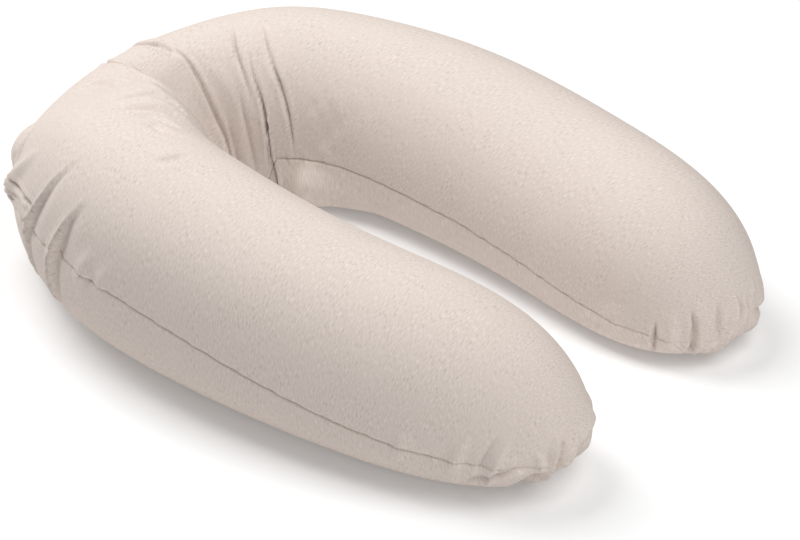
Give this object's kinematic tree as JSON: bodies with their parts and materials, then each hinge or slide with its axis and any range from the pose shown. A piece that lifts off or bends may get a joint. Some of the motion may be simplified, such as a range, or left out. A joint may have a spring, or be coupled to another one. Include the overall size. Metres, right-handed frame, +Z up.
{
  "type": "body pillow",
  "caption": "Long filled jersey pillow bent into a U, with rounded tips, an even tube and a turned seam round its sides; lies flat to carry a body, arm or child.",
  "frame": {"origin": "on the surface that the pillow lies on, under the middle of its outline", "axes": "+Z up; the two legs run towards -Y and the bend is at +Y; +X across the legs"},
  "size_m": [0.541, 0.7376, 0.2107],
  "materials": {
    "jersey": "matt oatmeal melange cotton jersey"
  },
  "bodies": {
    "root": {"pillow": "jersey"}
  },
  "joints": []
}
